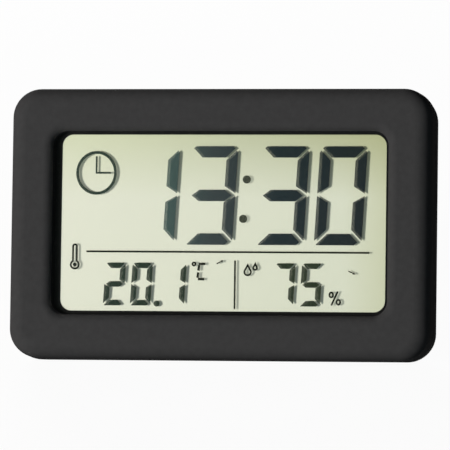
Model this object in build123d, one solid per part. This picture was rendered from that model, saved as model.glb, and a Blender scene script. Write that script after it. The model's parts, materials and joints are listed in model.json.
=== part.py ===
from build123d import *
from math import acos, asin, atan2, cos, degrees, hypot, radians, sin, sqrt, tan
import os

# Digital desk clock with a room thermometer and hygrometer, in millimetres.
# It is drawn upright in its own frame: x to the right, y from the front face to the back, z up,
# zero in the middle of the front face.  Then it is leaned back on its stand, with the table at zero.

# Display, as seen from the front
VIEW_WIDTH = 74.6
VIEW_HEIGHT = 40.3
VIEW_CORNER = 2.6
VIEW_SHIFT = 0.6          # the display sits a little right of the middle
VIEW_RISE = 0.15          # and a little above it
BORDER_SIDE = 1.05        # dark border seen beside the display
BORDER_END = 0.67         # dark border seen above and below it

# Case
BEZEL_SIDE = 10.15
BEZEL_END = 10.18
CASE_DEPTH = 18.0
CASE_CORNER = 6.8
CASE_DRAFT = 2.0          # degrees
FRONT_EDGE = 3.6          # rounding of the front rim
REAR_EDGE = 1.6           # rounding of the rear rim
WINDOW_CORNER = 3.2
FRONT_WALL = 2.4
SIDE_WALL = 1.6
REAR_WALL = 1.8
LIP_WALL = 0.8            # lip of the rear case that enters the front case
LIP_HEIGHT = 1.5
PARTING_BEVEL = 0.25
PARTING_SHARE = 0.5       # place of the parting line in the depth
WINDOW_EDGE_SHARE = 0.92  # rounding of the window's edge, of the front wall

# Display stack, front to back
DISPLAY_LIP = 1.4         # front wall left in front of the display
GASKET_WALL = 0.2
FILM_WALL = 0.2
GLASS_WALL = 0.55
CELL_GAP = 0.1
BORDER_WALL = 0.1         # printed border behind the glasses
GLASS_MARGIN = 2.6        # glass beyond the seen part
GLASS_FOOT = 1.2          # rear glass below the seen part
GLASS_LEDGE = 2.0         # front glass below the rear glass
GLASS_CORNER = 0.8
RIB_WALL = 1.0            # ribs that hold the glass in place
STRIP_WIDTH = 1.6         # zebra strip and foam strip
STRIP_SHARE = 0.94        # their length, of the seen width

# Board
BOARD_WALL = 1.0
BOARD_SHARE = 0.356       # place of the board between the display and the keys
BLOB_RADIUS = 6.5
BLOB_HEIGHT = 1.2
CAN_RADIUS = 1.0
CAN_LENGTH = 6.0
SENSOR_SIZE = 3.2
SENSOR_HEIGHT = 1.2
BEAD_RADIUS = 0.8
BEAD_LENGTH = 2.6
CHIP_LENGTH = 2.0
CHIP_WIDTH = 1.2
CHIP_HEIGHT = 0.6

# Screws
CASE_SHANK = 1.0
CASE_SHANK_LENGTH = 5.6
CASE_HEAD = 1.9
CASE_HEAD_HEIGHT = 1.3
CASE_BOSS = 2.5
REAR_BOSS = 3.0
REAR_SEAT = 2.4           # rear case under the screw head
SCREW_INSET = 6.0         # screw below the case's top edge
BOARD_SHANK = 0.8
BOARD_SHANK_LENGTH = 4.5
BOARD_HEAD = 1.5
BOARD_HEAD_HEIGHT = 1.0
BOARD_BOSS = 1.7
BOARD_SCREW_SHARE = 0.7   # board screws across the case, of the half width
CROSS_WIDTH_SHARE = 0.3   # cross recess, of the head radius
CROSS_DEPTH_SHARE = 0.5   # of the head height

# Coin cell and its door
CELL_RADIUS = 10.0
CELL_HEIGHT = 3.2
CELL_RIM = 0.5            # step from the can to the negative cap
CELL_CAP_SHARE = 0.88     # negative cap, of the cell radius
CONTACT_WALL = 0.25
CONTACT_WIDTH = 4.0
CONTACT_FOOT = 3.0
DOOR_RADIUS = 12.5
DOOR_WALL = 1.2
SKIRT_WALL = 0.8
LEDGE_WALL = 0.9          # ledge of the cup that the lugs turn under
LUG_WALL = 0.8
LUG_REACH = 1.0
LUG_WIDTH = 6.0
DOOR_TURN = 45.0          # degrees
CUP_WALL = 1.2
CUP_FLOOR = 1.2
COIN_SLOT_LENGTH = 15.0
COIN_SLOT_WIDTH = 1.8
COIN_SLOT_SHARE = 0.55    # coin slot, of the door's wall

# Keys and switches
KEY_RADIUS = 3.4
KEY_FLANGE = 1.0          # flange beyond the key
KEY_FLANGE_WALL = 0.8
KEY_PROUD = 0.8
KEY_EDGE = 0.5
KEY_PITCH = 11.0
KEY_TRAVEL = 0.5
KEY_LIFT_SHARE = 0.13     # middle key above the case's middle, of the half height
PLUNGER_RADIUS = 1.5
PLUNGER_LENGTH = 1.4
SWITCH_SIZE = 6.0

# Stand
STAND_WIDTH = 30.0
STAND_LENGTH = 43.0       # from the pivot to the foot's tip
STAND_WALL = 2.0
STAND_MARGIN = 2.2        # folded foot above the case's bottom
STAND_INSET = 0.3         # folded stand below the rear face
STAND_OPENING = 38.0      # degrees
EDGE_BEVEL = 0.3          # sharp edges of the stand and the battery door
HEEL_HEIGHT = 2.0
NAIL_RADIUS = 6.0         # notch for a fingernail
TRUNNION_RADIUS = 0.75
TRUNNION_LENGTH = 1.6
POCKET_WALL = 1.2
POCKET_SIDE = 2.4
POCKET_DEPTH_GAP = 0.35   # behind the folded stand

# Hanger hole and vents
HANGER_RADIUS = 3.6
HANGER_SLOT = 1.7         # half width of the slot
HANGER_RISE = 4.2
VENT_WIDTH = 1.2
VENT_LENGTH = 8.0
VENT_PITCH = 2.6
VENT_COUNT = 5
VENT_DROP_SHARE = 0.63    # vents below the case's middle, of the half height

# Flats on which the clock rests
REST_CUT = 0.3
FOOT_CUT = 0.12

# Clearances
LIP_CLEARANCE = 0.15
GLASS_CLEARANCE = 0.2
SCREW_CLEARANCE = 0.15
PILOT_CLEARANCE = 0.05
HEEL_CLEARANCE = 0.05
MOVE_CLEARANCE = 0.2
PLAY = 0.1                # along the turning or sliding direction
FACE_GAP = 0.3
ROOT = 0.5                # how far a rib or a post enters the wall it stands on
OVERRUN = 1.0             # how far a cutter runs past a face

# Lit bars of the display: places and sizes as shares of its seen width and height
BIG_DIGITS = "1330"
BIG_DIGIT_SHARES = (0.286, 0.466, 0.685, 0.8625)
BIG_MIDDLE_SHARE = 0.654
BIG_HEIGHT_SHARE = 0.494      # between the middles of the top and bottom bars
BIG_SPACING_SHARE = 0.111     # between the middles of the side bars
BIG_STROKE_SHARE = 0.064
SMALL_DIGITS = "20175"
SMALL_DIGIT_SHARES = (0.1695, 0.253, 0.357, 0.692, 0.7745)
SMALL_MIDDLE_SHARE = 0.151
SMALL_HEIGHT_SHARE = 0.211
SMALL_SPACING_SHARE = 0.046
SMALL_STROKE_SHARE = 0.031
DIGIT_SLANT = 0.055
COLON_SHARES = ((0.5735, 0.745), (0.564, 0.522))
COLON_RADIUS_SHARE = 0.023
POINT_SHARES = (0.3005, 0.0415)
POINT_RADIUS_SHARE = 0.017
RULE_SHARES = ((0.081, 0.335, 0.952, 0.333), (0.541, 0.013, 0.541, 0.287))
RULE_STROKE_SHARE = 0.0100
DIAL_SHARES = (0.1085, 0.781)
DIAL_WIDTH_SHARE = 0.126
DIAL_HEIGHT_SHARE = 0.248
DIAL_STROKE_SHARE = 0.0155
DIAL_HAND_SHARES = ((0.0, 0.0945), (0.044, 0.0))
DEGREE_SHARES = (0.4145, 0.266)
DEGREE_RADIUS_SHARE = 0.0135
SIGN_STROKE_SHARE = 0.0102
C_BAR_SHARES = (
    (0.4295, 0.267, 0.4495, 0.267),
    (0.4305, 0.260, 0.4285, 0.229),
    (0.428, 0.219, 0.426, 0.188),
    (0.4275, 0.181, 0.4465, 0.181),
)
C_STROKE_SHARE = 0.014
TREND_SHARES = (
    ((0.4845, 0.268), (0.4985, 0.2815), (0.5055, 0.288)),
    ((0.888, 0.230), (0.903, 0.2175), (0.9105, 0.2115)),
)
TREND_STROKE_SHARE = 0.003
TREND_HEAD_SHARE = 0.0075
STEM_SHARES = (0.0455, 0.260, 0.3635)
STEM_RADIUS_SHARE = 0.016
BULB_RADIUS_SHARE = 0.028
DROP_SHARES = ((0.580, 0.2225, 0.0235, 0.049), (0.603, 0.2452, 0.0155, 0.034))
PERCENT_SHARES = ((0.837, 0.096), (0.859, 0.055))
PERCENT_RING_SHARES = (0.0152, 0.0185)       # half its width and half its height
PERCENT_SLASH_SHARES = (0.8375, 0.037, 0.857, 0.1155)

# Ends of the bars, of their stroke
TOP_BAR_SHARES = (0.07, 0.18, 0.18)          # gap at the corners, cut off the left and the right corner
BOTTOM_BAR_SHARES = (0.11, 0.06, 0.26)
UPPER_SIDE_SHARES = (0.24, 0.14, 0.19, 0.82)  # gap, cut corner, outer and inner end beside the middle
LOWER_SIDE_SHARES = (0.36, 0.05, 0.02, 0.60)
CUT_RUN_SHARE = 2.2           # cut along the outer edge, of the cut across it
TIP_SHARE = 0.18              # middle bar beyond the middles of the side bars
TIP_RUN_SHARE = 0.66          # length of its pointed ends

# Which bars are lit for each figure: top, upper right, lower right, bottom, lower left, upper left, middle
LIT_BARS = {"0": "abcdef", "1": "bc", "2": "abged", "3": "abgcd", "5": "afgcd", "7": "abc"}

# Small board parts, as shares of the board's half width and half height
CHIP_SHARES = (
    (0.12, 0.62),
    (0.20, 0.62),
    (-0.20, 0.62),
    (0.30, 0.82),
    (0.46, 0.42),
    (0.46, 0.10),
    (0.46, -0.25),
)
CAN_SHARES = (0.62, 0.86)
BLOB_SHARES = (0.0, 0.12)
BEAD_SHARE = 0.76             # thermistor beside the humidity sensor, of the vents' place

# Overall sizes that follow
window_width = VIEW_WIDTH + 2 * BORDER_SIDE
window_height = VIEW_HEIGHT + 2 * BORDER_END
case_width = window_width + 2 * BEZEL_SIDE
case_height = window_height + 2 * BEZEL_END
half_width = case_width / 2
half_height = case_height / 2
parting = PARTING_SHARE * CASE_DEPTH
rear_side_wall = SIDE_WALL + LIP_CLEARANCE + LIP_WALL
rear_inside = CASE_DEPTH - REAR_WALL
draft_loss = tan(radians(CASE_DRAFT)) * (CASE_DEPTH - parting)

# Display stack, keys and board that follow, as depths from the front face
gasket_back = DISPLAY_LIP + GASKET_WALL
polariser_back = gasket_back + FILM_WALL
front_glass_back = polariser_back + GLASS_WALL
rear_glass_front = front_glass_back + CELL_GAP
rear_glass_back = rear_glass_front + GLASS_WALL
border_back = rear_glass_back + BORDER_WALL
reflector_back = border_back + FILM_WALL
key_flange_back = rear_inside - PLAY
key_flange_front = key_flange_back - KEY_FLANGE_WALL
board_front = reflector_back + BOARD_SHARE * (key_flange_front - reflector_back)
board_back = board_front + BOARD_WALL
glass_width = VIEW_WIDTH + 2 * GLASS_MARGIN
glass_top = VIEW_HEIGHT / 2 + GLASS_MARGIN
rear_glass_foot = VIEW_HEIGHT / 2 + GLASS_FOOT
front_glass_foot = rear_glass_foot + GLASS_LEDGE

# Battery cup that follows, counted from the rear face
door_front = CASE_DEPTH - DOOR_WALL
cup_seat = door_front - PLAY
ledge_front = cup_seat - LEDGE_WALL
lug_back = ledge_front - PLAY
lug_front = lug_back - LUG_WALL
groove_front = lug_front - FACE_GAP
cell_back = door_front - FACE_GAP
cell_front = cell_back - CELL_HEIGHT
cup_front = groove_front - CUP_FLOOR
skirt_inner = CELL_RADIUS + 2 * CONTACT_WALL
skirt_outer = skirt_inner + SKIRT_WALL
ledge_radius = skirt_outer + MOVE_CLEARANCE
lug_radius = skirt_outer + LUG_REACH
groove_radius = lug_radius + 2 * MOVE_CLEARANCE
cup_radius = groove_radius + CUP_WALL
cell_hole = skirt_inner + PLAY

# Stand that follows
pocket_floor = CASE_DEPTH - STAND_INSET - STAND_WALL - POCKET_DEPTH_GAP
pocket_width = STAND_WIDTH + 2 * FACE_GAP
pivot_y = CASE_DEPTH - STAND_INSET - STAND_WALL / 2
pivot_z = STAND_MARGIN + STAND_LENGTH - half_height
pocket_top = pivot_z + hypot(STAND_WALL / 2, HEEL_HEIGHT) + FACE_GAP
pocket_foot = pivot_z - STAND_LENGTH - FACE_GAP
pocket_block = pocket_width / 2 + POCKET_SIDE
inside_width = half_width - rear_side_wall - draft_loss
battery_x = -(pocket_block + inside_width) / 2
key_x = (pocket_block + inside_width) / 2

# Screws, switches and holes that follow
screw_x = glass_width / 2 + VIEW_SHIFT + GLASS_CLEARANCE + CASE_BOSS
screw_z = half_height - SCREW_INSET
board_screw_x = BOARD_SCREW_SHARE * half_width
board_screw_z = front_glass_foot + GLASS_CLEARANCE + BOARD_BOSS
board_half_width = screw_x - REAR_BOSS - FACE_GAP
board_half_height = board_screw_z + BOARD_BOSS
screw_seat = parting + REAR_SEAT
switch_back = key_flange_front - KEY_TRAVEL - MOVE_CLEARANCE
plunger_front = key_flange_front - PLUNGER_LENGTH
key_middle = KEY_LIFT_SHARE * half_height
key_places = {"set": key_middle + KEY_PITCH, "up": key_middle, "down": key_middle - KEY_PITCH}
vent_z = -VENT_DROP_SHARE * half_height
hanger_z = (pocket_top + POCKET_WALL + half_height - rear_side_wall - HANGER_RISE) / 2

# The lean follows from the opened stand: the table touches the rear rim and the foot
rim_radius = REAR_EDGE - REST_CUT
foot_radius = STAND_WALL / 2 - FOOT_CUT
rim_y = CASE_DEPTH - REAR_EDGE
rim_z = draft_loss - half_height + REAR_EDGE * (1 / cos(radians(CASE_DRAFT)) - tan(radians(CASE_DRAFT)))
foot_reach = STAND_LENGTH - STAND_WALL / 2
foot_y = pivot_y + foot_reach * sin(radians(STAND_OPENING))
foot_z = pivot_z - foot_reach * cos(radians(STAND_OPENING))
rim_to_foot = hypot(foot_y - rim_y, foot_z - rim_z)
lean = atan2(foot_z - rim_z, foot_y - rim_y) + asin((rim_radius - foot_radius) / rim_to_foot)
rest_y = rim_y + rim_radius * sin(lean)
rest_z = rim_z - rim_radius * cos(lean)
leaned = Rot(X=-degrees(lean)) * Pos(0, -rest_y, -rest_z)


# Drawing helpers
def outline(width, height, corner, x=0, z=0):
    return Pos(x, z) * RectangleRounded(width, height, corner)


def spot(radius, x=0, z=0):
    return Pos(x, z) * Circle(radius)


def slab(sketch, front, back):
    return extrude(Plane.XZ.offset(-front) * sketch, amount=back - front, dir=(0, 1, 0))


def post(radius, x, z, front, back):
    return slab(spot(radius, x, z), front, back)


def case_outline(inset):
    return outline(case_width - 2 * inset, case_height - 2 * inset, CASE_CORNER - inset)


def half_shell(inset, end):
    return extrude(Plane.XZ.offset(-parting) * case_outline(inset), amount=parting - end, taper=CASE_DRAFT)


def rod(sketch, start, length):
    return extrude(Plane.YZ.offset(start) * sketch, amount=length)


def corners(x, z):
    return [(side * x, end * z) for side in (-1, 1) for end in (-1, 1)]


def glass_sheet(foot, front, back):
    height = glass_top + foot
    return slab(outline(glass_width, height, GLASS_CORNER, VIEW_SHIFT, glass_top - height / 2), front, back)


# Case
def make_front_case():
    case = half_shell(0, 0)
    case = fillet(case.faces().sort_by(Axis.Y)[0].edges(), FRONT_EDGE)
    case = chamfer(case.faces().sort_by(Axis.Y)[-1].edges(), PARTING_BEVEL)
    case -= half_shell(SIDE_WALL, FRONT_WALL)
    case -= slab(outline(window_width, window_height, WINDOW_CORNER), -OVERRUN, FRONT_WALL + OVERRUN)
    window_rim = case.faces().sort_by(Axis.Y)[0].inner_wires()[0].edges()
    case = fillet(window_rim, WINDOW_EDGE_SHARE * FRONT_WALL)
    inner_width = glass_width + 2 * GLASS_CLEARANCE
    inner_height = glass_top + front_glass_foot + 2 * GLASS_CLEARANCE
    inner_z = (glass_top - front_glass_foot) / 2
    rib = outline(inner_width + 2 * RIB_WALL, inner_height + 2 * RIB_WALL, RIB_WALL, VIEW_SHIFT, inner_z)
    recess = Pos(VIEW_SHIFT, inner_z) * Rectangle(inner_width, inner_height)
    case += slab(rib - recess, FRONT_WALL - ROOT, reflector_back)
    case -= slab(recess, DISPLAY_LIP, FRONT_WALL + OVERRUN)
    for x, z in corners(screw_x, screw_z):
        case += post(CASE_BOSS, x, z, FRONT_WALL - ROOT, parting)
        tip = screw_seat - CASE_SHANK_LENGTH - FACE_GAP
        case -= post(CASE_SHANK + PILOT_CLEARANCE, x, z, tip, parting + OVERRUN)
    for x, z in corners(board_screw_x, board_screw_z):
        case += post(BOARD_BOSS, x, z, FRONT_WALL - ROOT, board_front)
        tip = board_back - BOARD_SHANK_LENGTH - FACE_GAP
        case -= post(BOARD_SHANK + PILOT_CLEARANCE, x, z, tip, board_front + OVERRUN)
    return case


def lug_bars(reach, width, inner, turn):
    return Rot(Z=turn) * (Rectangle(2 * reach, width) & Circle(reach)) - Circle(inner)


def make_rear_case():
    whole = half_shell(0, CASE_DEPTH)
    whole = fillet(whole.faces().sort_by(Axis.Y)[-1].edges(), REAR_EDGE)
    whole = chamfer(whole.faces().sort_by(Axis.Y)[0].edges(), PARTING_BEVEL)
    case = whole - half_shell(rear_side_wall, rear_inside)
    # lip, cut away round the posts of the front case
    lip_inset = SIDE_WALL + LIP_CLEARANCE
    lip = case_outline(lip_inset) - case_outline(rear_side_wall)
    case += slab(lip, parting - LIP_HEIGHT, parting + ROOT)
    for x, z in corners(screw_x, screw_z):
        case -= post(CASE_BOSS + FACE_GAP, x, z, parting - LIP_HEIGHT - OVERRUN, parting)
    for x, z in corners(board_screw_x, board_screw_z):
        case -= post(BOARD_BOSS + FACE_GAP, x, z, parting - LIP_HEIGHT - OVERRUN, board_front)
    # screw posts
    for x, z in corners(screw_x, screw_z):
        case += post(REAR_BOSS, x, z, parting, rear_inside + ROOT)
        case -= post(CASE_HEAD + SCREW_CLEARANCE, x, z, screw_seat, CASE_DEPTH + OVERRUN)
        case -= post(CASE_SHANK + SCREW_CLEARANCE, x, z, parting - OVERRUN, screw_seat + OVERRUN)
    # stand pocket with its sockets
    pocket_height = pocket_top - pocket_foot
    pocket_middle = (pocket_top + pocket_foot) / 2
    block = Pos(0, pocket_middle) * Rectangle(2 * pocket_block, pocket_height + 2 * POCKET_WALL)
    case += slab(block, pocket_floor - POCKET_WALL, rear_inside + ROOT) & whole
    pocket = Pos(0, pocket_middle) * Rectangle(pocket_width, pocket_height)
    case -= slab(pocket, pocket_floor, CASE_DEPTH + OVERRUN)
    socket = spot(TRUNNION_RADIUS + PLAY, pivot_y, pivot_z)
    socket_reach = STAND_WIDTH / 2 + TRUNNION_LENGTH + PLAY
    case -= rod(socket, -socket_reach, 2 * socket_reach)
    # battery cup, with a ledge, two entries for the lugs and two stops in the groove
    cup = Pos(battery_x, 0)
    case += slab(cup * Circle(cup_radius), cup_front, rear_inside + ROOT) & whole
    case -= slab(cup * Circle(DOOR_RADIUS + MOVE_CLEARANCE), cup_seat, CASE_DEPTH + OVERRUN)
    case -= slab(cup * Circle(cell_hole), cup_front - OVERRUN, ledge_front)
    case -= slab(cup * Circle(ledge_radius), groove_front, cup_seat)
    swing = radians(DOOR_TURN / 2)
    lug_root = sqrt(skirt_outer ** 2 - (LUG_WIDTH / 2) ** 2)
    stop_width = 2 * (lug_root * cos(swing) - LUG_WIDTH / 2 * sin(swing) - MOVE_CLEARANCE)
    stops = lug_bars(groove_radius + OVERRUN, stop_width, ledge_radius, 90 - DOOR_TURN / 2)
    case -= slab(cup * (Circle(groove_radius) - stops), groove_front, ledge_front)
    entries = lug_bars(groove_radius, LUG_WIDTH + 2 * MOVE_CLEARANCE, skirt_inner, -DOOR_TURN)
    case -= slab(cup * entries, groove_front, cup_seat)
    # key holes, vents and hanger hole
    for z in key_places.values():
        case -= post(KEY_RADIUS + MOVE_CLEARANCE, key_x, z, rear_inside - OVERRUN, CASE_DEPTH + OVERRUN)
    for number in range(VENT_COUNT):
        x = key_x + (number - (VENT_COUNT - 1) / 2) * VENT_PITCH
        vent = Pos(x, vent_z) * Rot(Z=90) * SlotOverall(VENT_LENGTH, VENT_WIDTH)
        case -= slab(vent, rear_inside - OVERRUN, CASE_DEPTH + OVERRUN)
    hanger = spot(HANGER_RADIUS, 0, hanger_z) + spot(HANGER_SLOT, 0, hanger_z + HANGER_RISE)
    hanger += Pos(0, hanger_z + HANGER_RISE / 2) * Rectangle(2 * HANGER_SLOT, HANGER_RISE)
    case -= slab(hanger, rear_inside - OVERRUN, CASE_DEPTH + OVERRUN)
    return case


# Stand, drawn folded and turned open about its trunnions
def make_stand():
    half = STAND_WALL / 2
    side = Pos(0, (HEEL_HEIGHT - foot_reach) / 2) * Rectangle(STAND_WALL, HEEL_HEIGHT + foot_reach)
    side += Pos(0, -foot_reach) * Circle(half)
    stop = half + POCKET_DEPTH_GAP - HEEL_CLEARANCE
    side -= Rot(Z=180 - STAND_OPENING) * Pos(stop + STAND_WIDTH / 2, 0) * Rectangle(STAND_WIDTH, STAND_WIDTH)
    stand = rod(Pos(pivot_y, pivot_z) * side, -STAND_WIDTH / 2, STAND_WIDTH)
    stand = chamfer(stand.edges().filter_by(Axis.Z), EDGE_BEVEL)
    stand -= post(NAIL_RADIUS, 0, pivot_z - STAND_LENGTH, pocket_floor, CASE_DEPTH + OVERRUN)
    reach = STAND_WIDTH / 2 + TRUNNION_LENGTH
    stand += rod(spot(TRUNNION_RADIUS, pivot_y, pivot_z), -reach, 2 * reach)
    return Pos(0, pivot_y, pivot_z) * Rot(X=STAND_OPENING) * Pos(0, -pivot_y, -pivot_z) * stand


# Coin cell, its door and its contacts
def make_battery_door():
    door = slab(Circle(DOOR_RADIUS), door_front, CASE_DEPTH)
    door = chamfer(door.faces().sort_by(Axis.Y)[-1].edges(), EDGE_BEVEL)
    door += slab(Circle(skirt_outer) - Circle(skirt_inner), lug_front, door_front + ROOT)
    door += slab(lug_bars(lug_radius, LUG_WIDTH, skirt_inner, 0), lug_front, lug_back)
    slot = SlotOverall(COIN_SLOT_LENGTH, COIN_SLOT_WIDTH)
    door -= slab(slot, CASE_DEPTH - COIN_SLOT_SHARE * DOOR_WALL, CASE_DEPTH + OVERRUN)
    return Pos(battery_x, 0, 0) * door


def make_coin_cell():
    cell = post(CELL_RADIUS, battery_x, 0, cell_front + CELL_RIM, cell_back)
    cell = fillet(cell.edges().sort_by(Axis.Y)[-1], CELL_RIM / 2)
    return cell + post(CELL_CAP_SHARE * CELL_RADIUS, battery_x, 0, cell_front, cell_back - CELL_RIM)


def make_negative_contact():
    # a leaf with a flat foot on the board, a slope and a flat that meets the cell
    lift = cell_front - board_back - CONTACT_WALL
    lower = [(-CONTACT_FOOT - lift, 0), (-lift, 0), (0, lift), (CONTACT_FOOT, lift)]
    upper = [(x, y + CONTACT_WALL) for x, y in reversed(lower)]
    leaf = Pos(battery_x, board_back) * Polygon(*lower, *upper, align=None)
    return extrude(leaf, amount=CONTACT_WIDTH / 2, both=True)


def make_positive_contact():
    from_corner = (Align.CENTER, Align.MIN, Align.MIN)
    leg = Box(CONTACT_WIDTH, cell_back - CELL_RIM - board_back, CONTACT_WALL, align=from_corner)
    foot = Box(CONTACT_WIDTH, CONTACT_WALL, CONTACT_FOOT, align=from_corner)
    return Pos(battery_x, board_back, CELL_RADIUS) * (leg + foot)


# Board and the parts on it
def make_main_board():
    board = slab(outline(2 * board_half_width, 2 * board_half_height, BOARD_BOSS), board_front, board_back)
    for x, z in corners(board_screw_x, board_screw_z):
        board -= post(BOARD_SHANK + SCREW_CLEARANCE, x, z, board_front - OVERRUN, board_back + OVERRUN)
    return board


def on_board(shares):
    return shares[0] * board_half_width, shares[1] * board_half_height


def make_chip_blob():
    blob = post(BLOB_RADIUS, *on_board(BLOB_SHARES), board_back, board_back + BLOB_HEIGHT)
    return fillet(blob.edges().sort_by(Axis.Y)[-1], BLOB_HEIGHT / 2)


def make_crystal_can():
    x, z = on_board(CAN_SHARES)
    return rod(spot(CAN_RADIUS, board_back + CAN_RADIUS, z), x - CAN_LENGTH / 2, CAN_LENGTH)


def make_smd_parts():
    chip = Rectangle(CHIP_LENGTH, CHIP_WIDTH)
    places = [on_board(shares) for shares in CHIP_SHARES]
    return [slab(Pos(x, z) * chip, board_back, board_back + CHIP_HEIGHT) for x, z in places]


def make_humidity_sensor():
    sensor = Pos(key_x, vent_z) * Rectangle(SENSOR_SIZE, SENSOR_SIZE)
    return slab(sensor, board_back, board_back + SENSOR_HEIGHT)


def make_thermistor():
    section = spot(BEAD_RADIUS, board_back + BEAD_RADIUS, vent_z)
    bead = rod(section, BEAD_SHARE * key_x - BEAD_LENGTH / 2, BEAD_LENGTH)
    return fillet(bead.edges().filter_by(GeomType.CIRCLE), BEAD_RADIUS / 2)


# Keys and switches
def make_key(z):
    key = post(KEY_RADIUS, key_x, z, key_flange_front, CASE_DEPTH + KEY_PROUD)
    key = fillet(key.edges().sort_by(Axis.Y)[-1], KEY_EDGE)
    return key + post(KEY_RADIUS + KEY_FLANGE, key_x, z, key_flange_front, key_flange_back)


def make_plunger(z):
    return post(PLUNGER_RADIUS, key_x, z, plunger_front, key_flange_front)


def make_switch_base(z):
    base = slab(Pos(key_x, z) * Rectangle(SWITCH_SIZE, SWITCH_SIZE), board_back, switch_back)
    well = plunger_front - KEY_TRAVEL - PLAY
    return base - post(PLUNGER_RADIUS + PLAY, key_x, z, well, switch_back + OVERRUN)


# Screws
def make_screw(head, head_height, shank, length, seat):
    screw = slab(Circle(head), seat, seat + head_height)
    screw = fillet(screw.edges().sort_by(Axis.Y)[-1], head_height / 2)
    screw += slab(Circle(shank), seat - length, seat + head_height / 2)
    width = CROSS_WIDTH_SHARE * head
    cross = Rectangle(head + width, width) + Rectangle(width, head + width)
    top = seat + head_height
    return screw - slab(cross, top - CROSS_DEPTH_SHARE * head_height, top + OVERRUN)


def make_case_screws():
    screw = make_screw(CASE_HEAD, CASE_HEAD_HEIGHT, CASE_SHANK, CASE_SHANK_LENGTH, screw_seat)
    return [Pos(x, 0, z) * screw for x, z in corners(screw_x, screw_z)]


def make_board_screws():
    screw = make_screw(BOARD_HEAD, BOARD_HEAD_HEIGHT, BOARD_SHANK, BOARD_SHANK_LENGTH, board_back)
    return [Pos(x, 0, z) * screw for x, z in corners(board_screw_x, board_screw_z)]


# Display stack
def hidden_frame(front, back):
    # a frame that keeps behind the edge of the case's window
    opening = slab(outline(window_width, window_height, WINDOW_CORNER), 0, CASE_DEPTH)
    return glass_sheet(rear_glass_foot, front, back) - opening


def make_border():
    # dark border seen round the display
    opening = slab(outline(VIEW_WIDTH, VIEW_HEIGHT, VIEW_CORNER, VIEW_SHIFT, VIEW_RISE), 0, CASE_DEPTH)
    return glass_sheet(rear_glass_foot, rear_glass_back, border_back) - opening


def make_zebra_strip():
    ledge_middle = -rear_glass_foot - GLASS_LEDGE / 2
    strip = Pos(VIEW_SHIFT, ledge_middle) * Rectangle(STRIP_SHARE * VIEW_WIDTH, STRIP_WIDTH)
    return slab(strip, front_glass_back, board_front)


def make_foam_strip():
    strip = Pos(VIEW_SHIFT, glass_top - STRIP_WIDTH) * Rectangle(STRIP_SHARE * VIEW_WIDTH, STRIP_WIDTH)
    return slab(strip, reflector_back, board_front)


# Lit bars and signs of the display
def seen(shares):
    return (shares[0] - 1 / 2) * VIEW_WIDTH + VIEW_SHIFT, (shares[1] - 1 / 2) * VIEW_HEIGHT + VIEW_RISE


def high(share):
    return share * VIEW_HEIGHT


def bar_end(tip, top, stroke, cut):
    return [(tip - CUT_RUN_SHARE * cut, top), (tip - cut, top - cut), (tip - stroke, top - stroke)]


def across_bar(outer, top, stroke, shares):
    gap, left, right = [share * stroke for share in shares]
    tip = outer - gap
    mirrored = [(-x, z) for x, z in reversed(bar_end(tip, top, stroke, left))]
    return bar_end(tip, top, stroke, right) + mirrored


def side_bar(outer, top, stroke, shares):
    gap, cut, foot, waist = [share * stroke for share in shares]
    end = top - gap
    upper = [(outer, end - CUT_RUN_SHARE * cut), (outer - cut, end - cut), (outer - stroke, end - stroke)]
    return upper + [(outer - stroke, waist), (outer, foot)]


def middle_bar(reach, stroke):
    shoulder = reach - TIP_RUN_SHARE * stroke
    upper = [(-reach, 0), (-shoulder, stroke / 2), (shoulder, stroke / 2)]
    return upper + [(-x, -z) for x, z in upper]


def figure(name, place, height, spacing, stroke):
    sizes = (spacing / 2 + stroke / 2, height / 2 + stroke / 2, stroke)
    upper_side = side_bar(*sizes, UPPER_SIDE_SHARES)
    lower_side = side_bar(*sizes, LOWER_SIDE_SHARES)
    bars = {
        "a": across_bar(*sizes, TOP_BAR_SHARES),
        "b": upper_side,
        "c": [(x, -z) for x, z in lower_side],
        "d": [(x, -z) for x, z in across_bar(*sizes, BOTTOM_BAR_SHARES)],
        "e": [(-x, -z) for x, z in lower_side],
        "f": [(-x, z) for x, z in upper_side],
        "g": middle_bar(spacing / 2 + TIP_SHARE * stroke, stroke),
    }
    x0, z0 = place
    lit = [bars[letter] for letter in LIT_BARS[name]]
    return [Polygon(*[(x0 + x + DIGIT_SLANT * z, z0 + z) for x, z in bar], align=None) for bar in lit]


def figures(names, shares, middle, height, spacing, stroke):
    bars = []
    for name, share in zip(names, shares):
        place = seen((share, middle))
        bars += figure(name, place, high(height), spacing * VIEW_WIDTH, high(stroke))
    return bars


def line(start, end, stroke):
    (x1, z1), (x2, z2) = start, end
    length = hypot(x2 - x1, z2 - z1)
    turn = degrees(atan2(z2 - z1, x2 - x1))
    return Pos((x1 + x2) / 2, (z1 + z2) / 2) * Rot(Z=turn) * Rectangle(length, stroke)


def ring(shares, across, up, stroke):
    return Pos(*seen(shares)) * (Ellipse(across, up) - Ellipse(across - stroke, up - stroke))


def drop_shape(place, radius, height):
    x, z = place
    turn = acos(radius / height)
    side = (radius * sin(turn), radius * cos(turn))
    cap = Polygon((x - side[0], z + side[1]), (x + side[0], z + side[1]), (x, z + height), align=None)
    return spot(radius, x, z) + cap


def drop(shares, stroke):
    place = seen(shares)
    radius = high(shares[2])
    height = high(shares[3])
    inner = radius - stroke
    return drop_shape(place, radius, height) - drop_shape(place, inner, height * inner / radius)


def thermometer_shape(grow):
    x, low = seen(STEM_SHARES[:2])
    top = seen((STEM_SHARES[0], STEM_SHARES[2]))[1]
    width = 2 * (high(STEM_RADIUS_SHARE) + grow)
    stem = Pos(x, (low + top) / 2) * Rectangle(width, top - low)
    return stem + spot(width / 2, x, top) + spot(high(BULB_RADIUS_SHARE) + grow, x, low)


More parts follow.
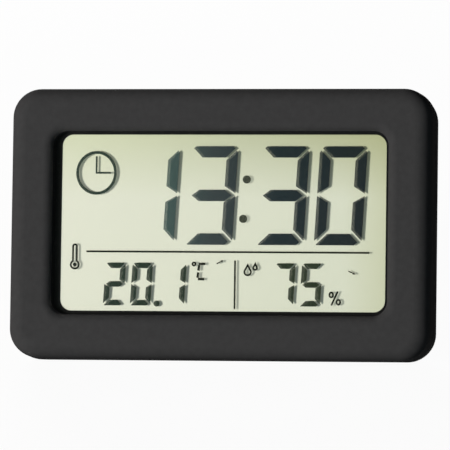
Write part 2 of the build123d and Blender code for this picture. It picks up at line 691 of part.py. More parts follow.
def trend(shares):
    start, neck, point = [seen(share) for share in shares]
    turn = degrees(atan2(point[1] - neck[1], point[0] - neck[0]))
    half = high(TREND_HEAD_SHARE)
    length = hypot(point[0] - neck[0], point[1] - neck[1])
    head = Pos(*neck) * Rot(Z=turn) * Polygon((0, -half), (length, 0), (0, half), align=None)
    return line(start, neck, 2 * high(TREND_STROKE_SHARE)) + head


def between_glasses(faces):
    return [slab(face, front_glass_back, rear_glass_front) for face in faces]


def make_segments():
    faces = figures(
        BIG_DIGITS, BIG_DIGIT_SHARES, BIG_MIDDLE_SHARE, BIG_HEIGHT_SHARE, BIG_SPACING_SHARE, BIG_STROKE_SHARE
    )
    faces += figures(
        SMALL_DIGITS,
        SMALL_DIGIT_SHARES,
        SMALL_MIDDLE_SHARE,
        SMALL_HEIGHT_SHARE,
        SMALL_SPACING_SHARE,
        SMALL_STROKE_SHARE,
    )
    faces.append(spot(high(POINT_RADIUS_SHARE), *seen(POINT_SHARES)))
    return between_glasses(faces)


def make_signs():
    thin = high(SIGN_STROKE_SHARE)
    faces = [spot(high(COLON_RADIUS_SHARE), *seen(shares)) for shares in COLON_SHARES]
    faces += [line(seen(ends[:2]), seen(ends[2:]), high(RULE_STROKE_SHARE)) for ends in RULE_SHARES]
    dial_size = (DIAL_WIDTH_SHARE * VIEW_WIDTH / 2, high(DIAL_HEIGHT_SHARE) / 2)
    faces.append(ring(DIAL_SHARES, *dial_size, high(DIAL_STROKE_SHARE)))
    hub = seen(DIAL_SHARES)
    hands = spot(high(RULE_STROKE_SHARE) / 2, *hub)
    for across, up in DIAL_HAND_SHARES:
        tip = (hub[0] + across * VIEW_WIDTH, hub[1] + high(up))
        hands += line(hub, tip, high(RULE_STROKE_SHARE))
    faces.append(hands)
    degree = high(DEGREE_RADIUS_SHARE)
    faces.append(ring(DEGREE_SHARES, degree, degree, thin))
    faces += [line(seen(ends[:2]), seen(ends[2:]), high(C_STROKE_SHARE)) for ends in C_BAR_SHARES]
    faces += [trend(shares) for shares in TREND_SHARES]
    faces.append(thermometer_shape(0) - thermometer_shape(-thin))
    bulb = seen(STEM_SHARES[:2])
    faces.append(spot(thin, *bulb))
    faces += [drop(shares, thin) for shares in DROP_SHARES]
    percent = [high(share) for share in PERCENT_RING_SHARES]
    faces += [ring(shares, *percent, thin) for shares in PERCENT_SHARES]
    faces.append(line(seen(PERCENT_SLASH_SHARES[:2]), seen(PERCENT_SLASH_SHARES[2:]), thin))
    return between_glasses(faces)


# All pieces by name
pieces = {
    "front_case": make_front_case(),
    "rear_case": make_rear_case(),
    "stand": make_stand(),
    "battery_door": make_battery_door(),
    "coin_cell": make_coin_cell(),
    "negative_contact": make_negative_contact(),
    "positive_contact": make_positive_contact(),
    "main_board": make_main_board(),
    "chip_blob": make_chip_blob(),
    "crystal_can": make_crystal_can(),
    "smd_parts": make_smd_parts(),
    "humidity_sensor": make_humidity_sensor(),
    "thermistor": make_thermistor(),
    "switch_bases": [make_switch_base(z) for z in key_places.values()],
    "lcd_gasket": hidden_frame(DISPLAY_LIP, gasket_back),
    "lcd_polariser": glass_sheet(rear_glass_foot, gasket_back, polariser_back),
    "lcd_front_glass": glass_sheet(front_glass_foot, polariser_back, front_glass_back),
    "lcd_edge_seal": hidden_frame(front_glass_back, rear_glass_front),
    "lcd_segments": make_segments(),
    "lcd_signs": make_signs(),
    "lcd_rear_glass": glass_sheet(rear_glass_foot, rear_glass_front, rear_glass_back),
    "lcd_border": make_border(),
    "lcd_reflector": glass_sheet(rear_glass_foot, border_back, reflector_back),
    "zebra_strip": make_zebra_strip(),
    "foam_strip": make_foam_strip(),
    "case_screws": make_case_screws(),
    "board_screws": make_board_screws(),
}
for name, z in key_places.items():
    pieces[name + "_key"] = make_key(z)
    pieces[name + "_plunger"] = make_plunger(z)

# Lean the clock back, cut the flats it rests on and write each piece
below_table = Box(case_width, case_width, CASE_DEPTH, align=(Align.CENTER, Align.CENTER, Align.MAX))
os.makedirs("parts", exist_ok=True)
for name, piece in pieces.items():
    if isinstance(piece, list):
        placed = Compound(children=[leaned * solid for solid in piece])
    else:
        placed = leaned * piece
    if name in ("rear_case", "stand"):
        placed = placed - below_table
    export_step(placed, "parts/" + name + ".step")
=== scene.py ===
import json
import math
import bmesh
import bpy
from mathutils import Matrix, Vector


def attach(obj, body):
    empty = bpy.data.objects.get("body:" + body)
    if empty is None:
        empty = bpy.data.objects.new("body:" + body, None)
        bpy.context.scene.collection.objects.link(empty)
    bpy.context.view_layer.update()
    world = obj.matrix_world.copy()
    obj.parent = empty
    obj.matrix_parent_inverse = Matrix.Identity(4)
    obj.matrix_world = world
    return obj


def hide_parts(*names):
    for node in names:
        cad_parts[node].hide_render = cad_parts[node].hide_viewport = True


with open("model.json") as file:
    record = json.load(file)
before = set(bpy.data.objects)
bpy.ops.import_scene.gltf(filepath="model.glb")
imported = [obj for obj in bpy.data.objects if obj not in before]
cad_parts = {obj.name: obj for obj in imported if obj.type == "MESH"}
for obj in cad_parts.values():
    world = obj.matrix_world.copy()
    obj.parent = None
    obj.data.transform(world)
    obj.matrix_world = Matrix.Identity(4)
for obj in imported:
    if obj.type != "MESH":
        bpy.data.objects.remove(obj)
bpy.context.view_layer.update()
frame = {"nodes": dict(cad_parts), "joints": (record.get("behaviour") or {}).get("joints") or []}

bpy.ops.object.select_all(action="DESELECT")
scene = bpy.context.scene

# The case's own frame: across, back and up, from the middle of its front face
MM = 0.001
CASE_DEPTH = 18.0 * MM
joints = {joint["name"]: joint for joint in frame["joints"]}
ACROSS = Vector((1, 0, 0))
BACK = -Vector(joints["up_key_press"]["axis"])
UP = ACROSS.cross(BACK)
door_joint = Vector(joints["battery_door_turn"]["pos_m"])
BATTERY_X = door_joint.x
FACE = door_joint - ACROSS * BATTERY_X - BACK * CASE_DEPTH
CASE = Matrix((
    (ACROSS.x, BACK.x, UP.x, FACE.x),
    (ACROSS.y, BACK.y, UP.y, FACE.y),
    (ACROSS.z, BACK.z, UP.z, FACE.z),
    (0, 0, 0, 1),
))

# The opened stand's own frame: the case's, turned about the trunnions
STAND_OPENING = math.radians(38.0)
PIVOT = Vector((0, 16.7 * MM, 14.2 * MM))
opened = Matrix.Rotation(STAND_OPENING, 4, "X")
STAND = CASE @ Matrix.Translation(PIVOT) @ opened @ Matrix.Translation(-PIVOT)

# Two directions whose dot product is above this run the same way
PARALLEL = 0.99


def at(x, y, z, home=CASE):
    """A point of the case's or the stand's own frame, in millimetres, in the row frame."""
    return home @ Vector((x * MM, y * MM, z * MM))


def settle(name):
    """Puts the new primitive's place into its mesh and opens it for editing."""
    bpy.ops.object.transform_apply(location=True, rotation=True, scale=True)
    piece = bpy.context.object
    piece.name = name
    bpy.ops.object.mode_set(mode="EDIT")
    return piece


def block(name, low, high, home=CASE):
    """A block between two corners, in millimetres, left in edit mode."""
    middle = [(a + b) / 2 for a, b in zip(low, high)]
    bpy.ops.mesh.primitive_cube_add(
        size=1,
        location=at(*middle, home),
        rotation=home.to_euler(),
        scale=[(b - a) * MM for a, b in zip(low, high)],
    )
    return settle(name)


def choose(piece, kind, test):
    """Selects the faces, edges or corners that pass a test."""
    bpy.ops.mesh.select_mode(type=kind)
    bpy.ops.mesh.select_all(action="DESELECT")
    shape = bmesh.from_edit_mesh(piece.data)
    items = {"VERT": shape.verts, "EDGE": shape.edges, "FACE": shape.faces}[kind]
    for item in items:
        item.select_set(test(item))
    bmesh.update_edit_mesh(piece.data)


def rearward(home):
    """From front to back of the case or the stand."""
    return (home.to_3x3() @ Vector((0, 1, 0))).normalized()


def run(edge):
    """The direction of an edge."""
    return (edge.verts[1].co - edge.verts[0].co).normalized()


def round_corners(piece, radius, segments=4, home=CASE):
    """Rounds the edges that run from front to back."""
    depth = rearward(home)
    choose(piece, "EDGE", lambda edge: abs(run(edge).dot(depth)) > PARALLEL)
    bpy.ops.mesh.bevel(offset=radius * MM, segments=segments, affect="EDGES")


def soften_rear(piece, width, home=CASE):
    """Bevels the edge round the rear face."""
    depth = rearward(home)
    choose(piece, "FACE", lambda face: face.normal.dot(depth) > PARALLEL)
    bpy.ops.mesh.region_to_loop()
    bpy.ops.mesh.bevel(offset=width * MM, segments=2, affect="EDGES")


def done(piece, body, finish):
    """Leaves edit mode, dresses the piece and ties it to its body."""
    bpy.ops.object.mode_set(mode="OBJECT")
    piece.data.materials.append(finish)
    bpy.ops.object.select_all(action="DESELECT")
    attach(piece, body)


# Material nodes: most of a noise lies between these two values
NOISE_LOW, NOISE_HIGH = 0.3, 0.7
# The colour sockets of a mix node
MIX_FIRST, MIX_SECOND, MIX_RESULT = 6, 7, 2


def shader(name):
    """A new material with its node tree and its main shader."""
    mat = bpy.data.materials.new(name)
    mat.use_nodes = True
    tree = mat.node_tree
    return mat, tree, tree.nodes["Principled BSDF"]


def add(tree, kind, **values):
    """A new node with some of its settings."""
    node = tree.nodes.new(kind)
    for key, value in values.items():
        setattr(node, key, value)
    return node


def object_point(tree):
    """The place on the piece, in metres."""
    return add(tree, "ShaderNodeTexCoord").outputs["Object"]


def noise(tree, point, scale, detail=2.0):
    """Soft random patches."""
    node = add(tree, "ShaderNodeTexNoise")
    node.inputs["Scale"].default_value = scale
    node.inputs["Detail"].default_value = detail
    tree.links.new(point, node.inputs["Vector"])
    return node.outputs["Fac"]


def ramp(tree, value, stops):
    """A colour for each value, from a list of places and colours."""
    node = add(tree, "ShaderNodeValToRGB")
    elements = node.color_ramp.elements
    while len(elements) < len(stops):
        elements.new(0.5)
    for element, (place, colour) in zip(elements, stops):
        element.position = place
        element.color = (*colour, 1)
    tree.links.new(value, node.inputs["Fac"])
    return node.outputs["Color"]


def spread(tree, value, low, high, start=NOISE_LOW, end=NOISE_HIGH):
    """Takes a value that goes from start to end, and makes it go from low to high."""
    node = add(tree, "ShaderNodeMapRange")
    node.inputs["From Min"].default_value = start
    node.inputs["From Max"].default_value = end
    node.inputs["To Min"].default_value = low
    node.inputs["To Max"].default_value = high
    tree.links.new(value, node.inputs["Value"])
    return node.outputs["Result"]


def along(tree, point, direction, low, high):
    """0 to 1 along a direction of the row frame, from one length to another, in metres."""
    node = add(tree, "ShaderNodeVectorMath", operation="DOT_PRODUCT")
    node.inputs[1].default_value = direction
    tree.links.new(point, node.inputs[0])
    return spread(tree, node.outputs["Value"], 0.0, 1.0, low, high)


def blend(tree, value, first, second):
    """From the first colour to the second as the value goes from 0 to 1."""
    node = add(tree, "ShaderNodeMix", data_type="RGBA")
    tree.links.new(value, node.inputs["Factor"])
    for number, colour in ((MIX_FIRST, first), (MIX_SECOND, second)):
        if isinstance(colour, tuple):
            node.inputs[number].default_value = (*colour, 1)
        else:
            tree.links.new(colour, node.inputs[number])
    return node.outputs[MIX_RESULT]


def bump(tree, bsdf, value, depth):
    """Raises the surface by a value, to a depth in metres."""
    node = add(tree, "ShaderNodeBump")
    node.inputs["Strength"].default_value = 1.0
    node.inputs["Distance"].default_value = depth
    tree.links.new(value, node.inputs["Height"])
    tree.links.new(node.outputs["Normal"], bsdf.inputs["Normal"])


def grey(value):
    """A colour with no hue."""
    return (value, value, value)


def shade(colour, factor):
    """A darker or lighter colour."""
    return tuple(min(1.0, part * factor) for part in colour)


def flecked(tree, colour, point, scale, darkest):
    """The colour with fine flecks, the darkest a share of it."""
    flecks = noise(tree, point, scale)
    node = add(tree, "ShaderNodeMix", data_type="RGBA", blend_type="MULTIPLY")
    node.inputs["Factor"].default_value = 1.0
    tree.links.new(colour, node.inputs[MIX_FIRST])
    shares = ramp(tree, flecks, [(NOISE_LOW, grey(darkest)), (NOISE_HIGH, grey(1.0))])
    tree.links.new(shares, node.inputs[MIX_SECOND])
    return node.outputs[MIX_RESULT]


def grained(name, colour, vary, scale, rough, rough_vary=0.05, grain=None, metallic=0.0, level=0.5):
    """Moulded, plated or painted: patchy colour and roughness, and a grain of some scale and depth."""
    mat, tree, bsdf = shader(name)
    point = object_point(tree)
    patches = noise(tree, point, scale, 3.0)
    stops = [(NOISE_LOW, shade(colour, 1 - vary)), (NOISE_HIGH, shade(colour, 1 + vary))]
    tree.links.new(ramp(tree, patches, stops), bsdf.inputs["Base Color"])
    patchy = spread(tree, patches, rough - rough_vary, rough + rough_vary)
    tree.links.new(patchy, bsdf.inputs["Roughness"])
    bsdf.inputs["Metallic"].default_value = metallic
    bsdf.inputs["Specular IOR Level"].default_value = level
    if grain:
        grain_scale, grain_depth = grain
        bump(tree, bsdf, noise(tree, point, grain_scale), grain_depth)
    return mat


# The seen part of the display
VIEW_LEFT, VIEW_RIGHT = -36.7 * MM, 37.9 * MM
VIEW_LOW = UP.dot(at(0, 0, -20.0))
VIEW_TOP = UP.dot(at(0, 0, 20.3))


def place_on_display(tree, point):
    """How far right and how far up a point of the display is, each from 0 to 1."""
    right = along(tree, point, ACROSS, VIEW_LEFT, VIEW_RIGHT)
    up = along(tree, point, UP, VIEW_LOW, VIEW_TOP)
    return right, up


def display_film():
    """Pale film behind the display with painted shade: lighter at the lower left, darker and more olive
    towards the upper right, as light falloff and viewing angle would make it.
    """
    low = [
        (0.0, (0.865, 0.895, 0.735)),
        (0.87, (0.80, 0.845, 0.67)),
        (1.0, (0.70, 0.74, 0.52)),
    ]
    high = [
        (0.0, (0.76, 0.81, 0.565)),
        (0.6, (0.60, 0.645, 0.43)),
        (1.0, (0.51, 0.54, 0.30)),
    ]
    mat, tree, bsdf = shader("reflector film")
    point = object_point(tree)
    right, up = place_on_display(tree, point)
    rise = spread(tree, up, 0.0, 1.0, 0.64, 1.0)
    # Painted shade: the film is darker towards the top and the right.
    pale = blend(tree, rise, ramp(tree, right, low), ramp(tree, right, high))
    tree.links.new(flecked(tree, pale, point, 9000, 0.97), bsdf.inputs["Base Color"])
    bsdf.inputs["Roughness"].default_value = 0.8
    bsdf.inputs["Specular IOR Level"].default_value = 0.1
    return mat


def lit_shapes(name, below, above, start, end):
    """Dark colours that change across the display, with other colours above some height."""
    mat, tree, bsdf = shader(name)
    point = object_point(tree)
    right, up = place_on_display(tree, point)
    rise = spread(tree, up, 0.0, 1.0, start, end)
    dark = blend(tree, rise, ramp(tree, right, below), ramp(tree, right, above))
    tree.links.new(flecked(tree, dark, point, 4000, 0.88), bsdf.inputs["Base Color"])
    bsdf.inputs["Roughness"].default_value = 0.7
    bsdf.inputs["Specular IOR Level"].default_value = 0.1
    return mat, tree, bsdf, right, rise


def see_through(tree, bsdf, sight, shadow):
    """One opacity for the eye and another for the shadow on the film."""
    path = add(tree, "ShaderNodeLightPath")
    alpha = blend(tree, path.outputs["Is Shadow Ray"], sight, shadow)
    tree.links.new(alpha, bsdf.inputs["Alpha"])


def lit_bars():
    """Smoky bars with painted shade: the big figures go from grey green at the left to near black at
    the right, as the viewing angle would make them.
    """
    small = [(0.2, (0.018, 0.040, 0.026)), (0.8, (0.024, 0.040, 0.018))]
    # Painted shade across the big figures: lighter at the left, darker at the right.
    big = [
        (0.28, (0.067, 0.144, 0.128)),
        (0.47, (0.040, 0.062, 0.068)),
        (0.68, (0.001, 0.018, 0.028)),
        (0.90, (0.001, 0.012, 0.020)),
    ]
    small_sight, big_sight = grey(0.71), grey(0.61)
    shadow = grey(0.61)
    mat, tree, bsdf, right, rise = lit_shapes("lit bars", small, big, 0.34, 0.37)
    see_through(tree, bsdf, blend(tree, rise, small_sight, big_sight), shadow)
    return mat


def lit_signs():
    """Near-black signs, a greyer dial and grey dots; they throw only a faint shadow on the film."""
    signs = [(0.2, (0.008, 0.013, 0.007)), (0.8, (0.008, 0.012, 0.005))]
    dial_and_dots = [(0.18, (0.028, 0.052, 0.038)), (0.5, (0.052, 0.062, 0.042))]
    sight = grey(0.86)
    sign_shadow = grey(0.38)
    dial_and_dot_shadows = [(0.18, grey(0.52)), (0.5, grey(0.24))]
    mat, tree, bsdf, right, rise = lit_shapes("lit signs", signs, dial_and_dots, 0.37, 0.42)
    shadow = blend(tree, rise, sign_shadow, ramp(tree, right, dial_and_dot_shadows))
    see_through(tree, bsdf, sight, shadow)
    return mat


def clear_pane(name, colour, alpha):
    """Clear film or glass with faint waviness."""
    mat, tree, bsdf = shader(name)
    faint = noise(tree, object_point(tree), 120)
    stops = [(NOISE_LOW, shade(colour, 0.94)), (NOISE_HIGH, colour)]
    tree.links.new(ramp(tree, faint, stops), bsdf.inputs["Base Color"])
    tree.links.new(spread(tree, faint, 0.30, 0.40), bsdf.inputs["Roughness"])
    bsdf.inputs["Alpha"].default_value = alpha
    bsdf.inputs["Specular IOR Level"].default_value = 0.2
    return mat


def layered(name, dark, light, scale, rough):
    """Stripes across the strip, as in a contact rubber."""
    mat, tree, bsdf = shader(name)
    wave = add(tree, "ShaderNodeTexWave", wave_type="BANDS", bands_direction="X")
    wave.inputs["Scale"].default_value = scale
    wave.inputs["Distortion"].default_value = 0.0
    tree.links.new(object_point(tree), wave.inputs["Vector"])
    stripes = ramp(tree, wave.outputs["Fac"], [(0.4, dark), (0.6, light)])
    tree.links.new(stripes, bsdf.inputs["Base Color"])
    bsdf.inputs["Roughness"].default_value = rough
    return mat


# Black plastics and rubbers
case_colour = (0.044, 0.044, 0.0445)
stand_colour = (0.038, 0.038, 0.0385)
key_colour = (0.04, 0.04, 0.042)
foam_colour = (0.006, 0.006, 0.0065)
case_grain, rear_grain, stand_grain = (5200, 0.000012), (4200, 0.00002), (4200, 0.000015)
CASE_BLACK = grained("case plastic", case_colour, 0.06, 700, 0.9, 0.04, case_grain, level=0.005)
REAR_BLACK = grained("rear case plastic", case_colour, 0.08, 500, 0.9, 0.04, rear_grain, level=0.005)
STAND_BLACK = grained("stand plastic", stand_colour, 0.08, 500, 0.66, 0.05, stand_grain, level=0.25)
KEY_BLACK = grained("key rubber", key_colour, 0.08, 900, 0.55, 0.05, (5000, 0.00001))
SWITCH_BLACK = grained("switch plastic", grey(0.02), 0.15, 900, 0.5)
GASKET_BLACK = grained("gasket foam", foam_colour, 0.25, 2500, 0.9, 0.05, (6000, 0.00003), level=0.1)
BORDER_INK = grained("border ink", (0.004, 0.004, 0.0042), 0.2, 1500, 0.7, level=0.05)
SEAL_RESIN = grained("seal resin", (0.006, 0.006, 0.0062), 0.2, 1500, 0.6, level=0.1)
POTTING = grained("potting", grey(0.01), 0.2, 600, 0.25, 0.05, (800, 0.00002))

# Metals
CELL_STEEL = grained("cell steel", (0.60, 0.60, 0.58), 0.06, 300, 0.3, 0.06, (3000, 0.000004), 1.0)
CONTACT_METAL = grained("contact metal", (0.66, 0.64, 0.58), 0.08, 600, 0.28, 0.06, metallic=1.0)
CAN_METAL = grained("can metal", grey(0.58), 0.06, 800, 0.25, metallic=1.0)
SCREW_STEEL = grained("screw steel", (0.16, 0.16, 0.165), 0.15, 1500, 0.35, 0.08, (4000, 0.000006), 1.0)

# Board, sensors, contact strip and paint
# The board's own green, made darker as painted shade for the inside of the case.
SHADED_BOARD_GREEN = grained("board laminate", (0.012, 0.055, 0.024), 0.2, 350, 0.4, 0.08, (2500, 0.00001))
CHIP_BROWN = grained("chip ceramic", (0.22, 0.17, 0.12), 0.2, 1500, 0.5)
SENSOR_WHITE = grained("sensor plastic", (0.72, 0.71, 0.67), 0.06, 1500, 0.4)
SIGN_GREY = grained("sign paint", grey(0.42), 0.06, 2500, 0.6)
ZEBRA = layered("zebra rubber", grey(0.02), (0.5, 0.45, 0.38), 2600, 0.7)

# Display
FILM = display_film()
BARS = lit_bars()
SIGNS = lit_signs()
CLEAR_FILM = clear_pane("display film", (0.05, 0.06, 0.05), 0.02)
CLEAR_GLASS = clear_pane("display glass", (0.05, 0.06, 0.05), 0.02)

FINISH = {
    "front_case": CASE_BLACK,
    "rear_case": REAR_BLACK,
    "stand": STAND_BLACK,
    "battery_door": STAND_BLACK,
    "set_key": KEY_BLACK,
    "up_key": KEY_BLACK,
    "down_key": KEY_BLACK,
    "set_plunger": SWITCH_BLACK,
    "up_plunger": SWITCH_BLACK,
    "down_plunger": SWITCH_BLACK,
    "switch_bases": SWITCH_BLACK,
    "coin_cell": CELL_STEEL,
    "negative_contact": CONTACT_METAL,
    "positive_contact": CONTACT_METAL,
    "main_board": SHADED_BOARD_GREEN,
    "chip_blob": POTTING,
    "crystal_can": CAN_METAL,
    "smd_parts": CHIP_BROWN,
    "humidity_sensor": SENSOR_WHITE,
    "thermistor": SENSOR_WHITE,
    "lcd_gasket": GASKET_BLACK,
    "foam_strip": GASKET_BLACK,
    "lcd_polariser": CLEAR_FILM,
    "lcd_front_glass": CLEAR_GLASS,
    "lcd_rear_glass": CLEAR_GLASS,
    "lcd_edge_seal": SEAL_RESIN,
    "lcd_segments": BARS,
    "lcd_signs": SIGNS,
    "lcd_border": BORDER_INK,
    "lcd_reflector": FILM,
    "zebra_strip": ZEBRA,
    "case_screws": SCREW_STEEL,
    "board_screws": SCREW_STEEL,
}
for name, node in frame["nodes"].items():
    node.data.materials.clear()
    node.data.materials.append(FINISH[name])

# Display panes: front glass with its film, and rear glass, each a hair thinner than its room
VIEW_SHIFT = 0.6
GLASS_HALF = 39.9
GLASS_TOP = 22.75
FILM_FOOT = -21.35
LEDGE_FOOT = -23.35
FILM_FRONT, FILM_BACK, FRONT_GLASS_BACK = 1.6, 1.8, 2.35
REAR_GLASS_FRONT, REAR_GLASS_BACK = 2.45, 3.0
GLASS_CORNER = 0.8
HAIR = 0.03
GLASS_LEFT, GLASS_RIGHT = VIEW_SHIFT - GLASS_HALF, VIEW_SHIFT + GLASS_HALF
film_height = UP.dot(at(0, 0, FILM_FOOT))


def is_film_front(face):
    """True for the part of the front face that the film covers."""
    return face.normal.dot(BACK) < -PARALLEL and UP.dot(face.calc_center_median()) > film_height


pane = block(
    "display_front_pane",
    (GLASS_LEFT, FILM_BACK, LEDGE_FOOT),
    (GLASS_RIGHT, FRONT_GLASS_BACK - HAIR, GLASS_TOP),
)
round_corners(pane, GLASS_CORNER)
bpy.ops.mesh.select_all(action="SELECT")
bpy.ops.mesh.bisect(plane_co=at(0, 0, FILM_FOOT), plane_no=UP)
choose(pane, "FACE", is_film_front)
film_step = BACK * (FILM_FRONT - FILM_BACK) * MM
bpy.ops.mesh.extrude_region_move(TRANSFORM_OT_translate={"value": film_step})
done(pane, "case", CLEAR_GLASS)
pane.visible_shadow = False
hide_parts("lcd_front_glass", "lcd_polariser")

pane = block(
    "display_rear_pane",
    (GLASS_LEFT, REAR_GLASS_FRONT + HAIR, FILM_FOOT),
    (GLASS_RIGHT, REAR_GLASS_BACK - HAIR, GLASS_TOP),
)
round_corners(pane, GLASS_CORNER)
done(pane, "case", CLEAR_GLASS)
pane.visible_shadow = False
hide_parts("lcd_rear_glass")

# Raised marks on the back: each stands a little proud and is rooted in its face
PROUD = 0.2
ROOT = 0.1
MARK_BEVEL = 0.06
ARROW_TIP = 0.06
ARROW_ROUND = 0.12
SAME_AREA = 1e-12


def arrow(name, x, z, half, rise, face):
    """A triangle that points up, or down where the rise is negative."""
    reach = abs(rise) / 2
    piece = block(name, (x - half, face - ROOT, z - reach), (x + half, face + PROUD, z + reach))
    middle = UP.dot(at(x, 0, z))
    choose(piece, "VERT", lambda corner: (UP.dot(corner.co) - middle) * rise > 0)
    bpy.ops.transform.resize(value=(ARROW_TIP, 1, 1), center_override=at(x, face, z))
    round_corners(piece, ARROW_ROUND, 2)
    soften_rear(piece, MARK_BEVEL)
    return piece


def ring(name, x, z, radius, bead, face):
    """A ring of round bead with its front cut away."""
    turn = CASE.to_3x3() @ Matrix.Rotation(math.radians(-90), 3, "X")
    bpy.ops.mesh.primitive_torus_add(
        major_radius=radius * MM,
        minor_radius=bead * MM,
        major_segments=48,
        minor_segments=12,
        location=at(x, face, z),
        rotation=turn.to_euler(),
    )
    piece = settle(name)
    bpy.ops.mesh.select_all(action="SELECT")
    root = at(x, face - ROOT, z)
    bpy.ops.mesh.bisect(plane_co=root, plane_no=BACK, clear_inner=True, use_fill=True)
    return piece


def plus(name, x, z, reach, stroke, face):
    """A plus sign: a small block with an arm drawn out of each side."""
    half = stroke / 2
    arm_end = stroke * (PROUD + ROOT) * MM * MM
    piece = block(name, (x - half, face - ROOT, z - half), (x + half, face + PROUD, z + half))
    for side in (ACROSS, -ACROSS, UP, -UP):
        choose(
            piece,
            "FACE",
            lambda f: f.normal.dot(side) > PARALLEL and abs(f.calc_area() - arm_end) < SAME_AREA,
        )
        arm = side * (reach - half) * MM
        bpy.ops.mesh.extrude_region_move(TRANSFORM_OT_translate={"value": arm})
    soften_rear(piece, MARK_BEVEL)
    return piece


# Signs on the keys
REAR = CASE_DEPTH / MM
KEY_FACE = REAR + 0.8
BATTERY = BATTERY_X / MM
KEY_X = -BATTERY
UP_KEY_Z = 4.03
KEY_PITCH = 11.0
KEY_ARROW_HALF, KEY_ARROW_RISE = 1.3, 2.0
SET_RADIUS, BEAD = 1.1, 0.25
set_sign = ring("set_sign", KEY_X, UP_KEY_Z + KEY_PITCH, SET_RADIUS, BEAD, KEY_FACE)
done(set_sign, "set_key", SIGN_GREY)
up_sign = arrow("up_sign", KEY_X, UP_KEY_Z, KEY_ARROW_HALF, KEY_ARROW_RISE, KEY_FACE)
done(up_sign, "up_key", SIGN_GREY)
down_z = UP_KEY_Z - KEY_PITCH
down_sign = arrow("down_sign", KEY_X, down_z, KEY_ARROW_HALF, -KEY_ARROW_RISE, KEY_FACE)
done(down_sign, "down_key", SIGN_GREY)

# Marks on the battery door, and round it on the rear case
PLUS_Z, PLUS_REACH, PLUS_STROKE = -6.2, 1.9, 0.7
POINTER_Z, POINTER_HALF, POINTER_RISE = 9.6, 1.1, 2.0
LOCKED_HALF, LOCKED_RISE = 0.9, 1.6
OPEN_RADIUS = 0.8
MARK_RADIUS = 14.8
DOOR_TURN = math.radians(45)
plus_sign = plus("plus_sign", BATTERY, PLUS_Z, PLUS_REACH, PLUS_STROKE, REAR)
done(plus_sign, "battery_door", STAND_BLACK)
door_pointer = arrow("door_pointer", BATTERY, POINTER_Z, POINTER_HALF, POINTER_RISE, REAR)
done(door_pointer, "battery_door", STAND_BLACK)
locked_mark = arrow("locked_mark", BATTERY, MARK_RADIUS, LOCKED_HALF, -LOCKED_RISE, REAR)
done(locked_mark, "case", REAR_BLACK)
open_x = BATTERY + MARK_RADIUS * math.sin(DOOR_TURN)
open_z = MARK_RADIUS * math.cos(DOOR_TURN)
open_mark = ring("open_mark", open_x, open_z, OPEN_RADIUS, BEAD, REAR)
done(open_mark, "case", REAR_BLACK)

# Grip ribs above the notch of the stand: one is modelled and the others are its copies
STAND_FACE = REAR - 0.3
RIB_COUNT = 4
RIB_PITCH = 2.2
RIB_HALF = 9.0
RIB_WIDTH = 0.9
RIB_FOOT = -18.5
RIB_ROUND = RIB_WIDTH * 0.49
RIB_BEVEL = 0.08
first_rib = block(
    "stand_rib_1",
    (-RIB_HALF, STAND_FACE - ROOT, RIB_FOOT),
    (RIB_HALF, STAND_FACE + PROUD, RIB_FOOT + RIB_WIDTH),
    STAND,
)
round_corners(first_rib, RIB_ROUND, 5, STAND)
soften_rear(first_rib, RIB_BEVEL, STAND)
bpy.ops.object.mode_set(mode="OBJECT")
ribs = [first_rib]
up_the_stand = (STAND.to_3x3() @ Vector((0, 0, 1))).normalized()
for number in range(1, RIB_COUNT):
    bpy.ops.object.select_all(action="DESELECT")
    first_rib.select_set(True)
    bpy.context.view_layer.objects.active = first_rib
    bpy.ops.object.duplicate(linked=False)
    copy = bpy.context.object
    copy.name = "stand_rib_" + str(number + 1)
    copy.location = up_the_stand * RIB_PITCH * number * MM
    bpy.ops.object.transform_apply(location=True, rotation=True, scale=True)
    ribs.append(copy)
for rib in ribs:
    done(rib, "stand", STAND_BLACK)

# Floor: seen as white, it keeps the clock's shadow and sends little light back to the clock
FLOOR_SIZE = 8.0
WHITE_SHARE = 0.95


def white_floor():
    """White to the camera and in reflections, and a dim grey to all other light."""
    mat, tree, bsdf = shader("white floor")
    faint = noise(tree, object_point(tree), 3.0)
    pale = ramp(tree, faint, [(NOISE_LOW, grey(0.88)), (NOISE_HIGH, grey(0.90))])
    dim = ramp(tree, faint, [(NOISE_LOW, grey(0.28)), (NOISE_HIGH, grey(0.30))])
    bsdf.inputs["Roughness"].default_value = 0.9
    bsdf.inputs["Specular IOR Level"].default_value = 0.0
    white = add(tree, "ShaderNodeEmission")
    white.inputs["Color"].default_value = (1, 1, 1, 1)
    white.inputs["Strength"].default_value = 1.0
    path = add(tree, "ShaderNodeLightPath")
    seen = path.outputs["Is Camera Ray"]
    for kind in ("Is Glossy Ray", "Is Transmission Ray"):
        either = add(tree, "ShaderNodeMath", operation="MAXIMUM")
        tree.links.new(seen, either.inputs[0])
        tree.links.new(path.outputs[kind], either.inputs[1])
        seen = either.outputs[0]
    tree.links.new(blend(tree, seen, dim, pale), bsdf.inputs["Base Color"])
    share = add(tree, "ShaderNodeMath", operation="MULTIPLY")
    share.inputs[1].default_value = WHITE_SHARE
    tree.links.new(seen, share.inputs[0])
    mixed = add(tree, "ShaderNodeMixShader")
    tree.links.new(share.outputs[0], mixed.inputs["Fac"])
    tree.links.new(bsdf.outputs["BSDF"], mixed.inputs[1])
    tree.links.new(white.outputs["Emission"], mixed.inputs[2])
    tree.links.new(mixed.outputs["Shader"], tree.nodes["Material Output"].inputs["Surface"])
    return mat


bpy.ops.mesh.primitive_plane_add(size=FLOOR_SIZE)
floor = bpy.context.object
floor.name = "floor"
floor.data.materials.append(white_floor())

# Light
SKY_STRENGTH = 0.045
REAR_LAMP_RISE = math.radians(40)
world = bpy.data.worlds.new("studio")
scene.world = world
world.use_nodes = True
sky = world.node_tree.nodes["Background"]
sky.inputs["Color"].default_value = (1, 1, 1, 1)
sky.inputs["Strength"].default_value = SKY_STRENGTH


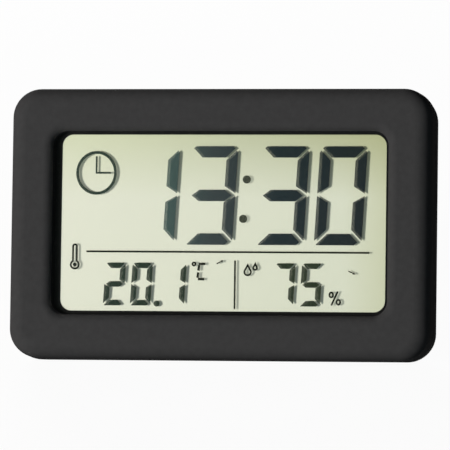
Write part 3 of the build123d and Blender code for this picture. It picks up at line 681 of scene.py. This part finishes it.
def towards(aside, above):
    """A direction in front of the case, in degrees to the right of and above its face."""
    aside = math.radians(aside)
    above = math.radians(above)
    flat = math.cos(above)
    return math.sin(aside) * flat, -math.cos(aside) * flat, math.sin(above)


def area_light(name, direction, distance, size, power, colour=(1, 1, 1)):
    """A square lamp that looks at the middle of the display, in a direction of the case's own frame."""
    aim = (CASE.to_3x3() @ Vector(direction)).normalized()
    light = bpy.data.lights.new(name, "AREA")
    light.size = size
    light.energy = power
    light.color = colour
    lamp = bpy.data.objects.new(name, light)
    scene.collection.objects.link(lamp)
    lamp.location = at(0, 0, 0) + aim * distance
    lamp.rotation_euler = (-aim).to_track_quat("-Z", "Y").to_euler()
    lamp.visible_camera = False


over_the_back = (-0.35, math.cos(REAR_LAMP_RISE), math.sin(REAR_LAMP_RISE))
area_light("key lamp", towards(-40, -5), distance=2.5, size=0.5, power=70.0, colour=(1, 0.96, 0.935))
area_light("front lamp", towards(0, -19), distance=1.4, size=0.16, power=1.25, colour=(0.33, 0.75, 1))
area_light("rear lamp", over_the_back, distance=1.0, size=0.4, power=8.0)

# Camera: its place in the case's own frame
CAMERA_DISTANCE = 1000 * MM
CAMERA_TARGET = Vector((0.241 * MM, 9.0 * MM, 0.099 * MM))
CAMERA_ASIDE, CAMERA_ABOVE = 8.5, -4.0
CAMERA_ROLL = math.radians(-0.798)
PHOTO_PIXELS = 450
FOCAL_PIXELS = 4371.9
SENSOR_WIDTH = 36.0
backward = Vector(towards(CAMERA_ASIDE, CAMERA_ABOVE))
level = Vector((0, 0, 1)).cross(backward).normalized()
upright = backward.cross(level)
right = level * math.cos(CAMERA_ROLL) - upright * math.sin(CAMERA_ROLL)
above = level * math.sin(CAMERA_ROLL) + upright * math.cos(CAMERA_ROLL)
place = CAMERA_TARGET + backward * CAMERA_DISTANCE
pose = Matrix((
    (right.x, above.x, backward.x, place.x),
    (right.y, above.y, backward.y, place.y),
    (right.z, above.z, backward.z, place.z),
    (0, 0, 0, 1),
))
camera = bpy.data.cameras.new("camera")
camera.sensor_width = SENSOR_WIDTH
camera.lens = FOCAL_PIXELS * SENSOR_WIDTH / PHOTO_PIXELS
viewer = bpy.data.objects.new("camera", camera)
scene.collection.objects.link(viewer)
viewer.matrix_world = CASE @ pose
scene.camera = viewer
scene.view_settings.view_transform = "Standard"
